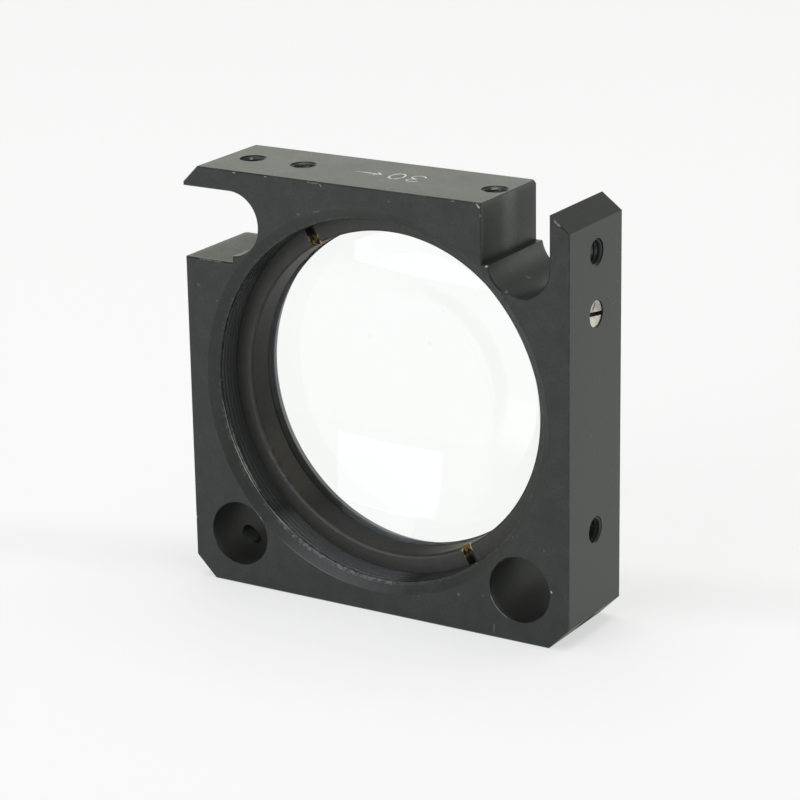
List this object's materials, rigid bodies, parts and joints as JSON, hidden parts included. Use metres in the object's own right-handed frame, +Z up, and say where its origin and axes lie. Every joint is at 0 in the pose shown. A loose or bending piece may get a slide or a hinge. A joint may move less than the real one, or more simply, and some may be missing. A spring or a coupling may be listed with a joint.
{
  "type": "optical lens mount",
  "caption": "Square black metal plate with a lens behind a threaded retaining ring, bored and slotted to run on parallel rods, with tapped holes for clamp and lock screws.",
  "frame": {"origin": "on the optical axis, at the middle of the plate's thickness", "axes": "+Y along the optical axis away from the front face, +Z up towards the face with the engraved number, +X to the right seen from the front"},
  "size_m": [0.04, 0.01, 0.04],
  "materials": {
    "black_anodise": "black anodised, fine satin, edges slightly worn",
    "clear_glass": "polished, coated",
    "black_brass": "blackened, bare in the spanner slots",
    "bright_steel": "turned, bright"
  },
  "bodies": {
    "root": {"mount_plate": "black_anodise", "lens": "clear_glass", "retaining_ring": "black_brass", "set_screw": "bright_steel"}
  },
  "joints": []
}
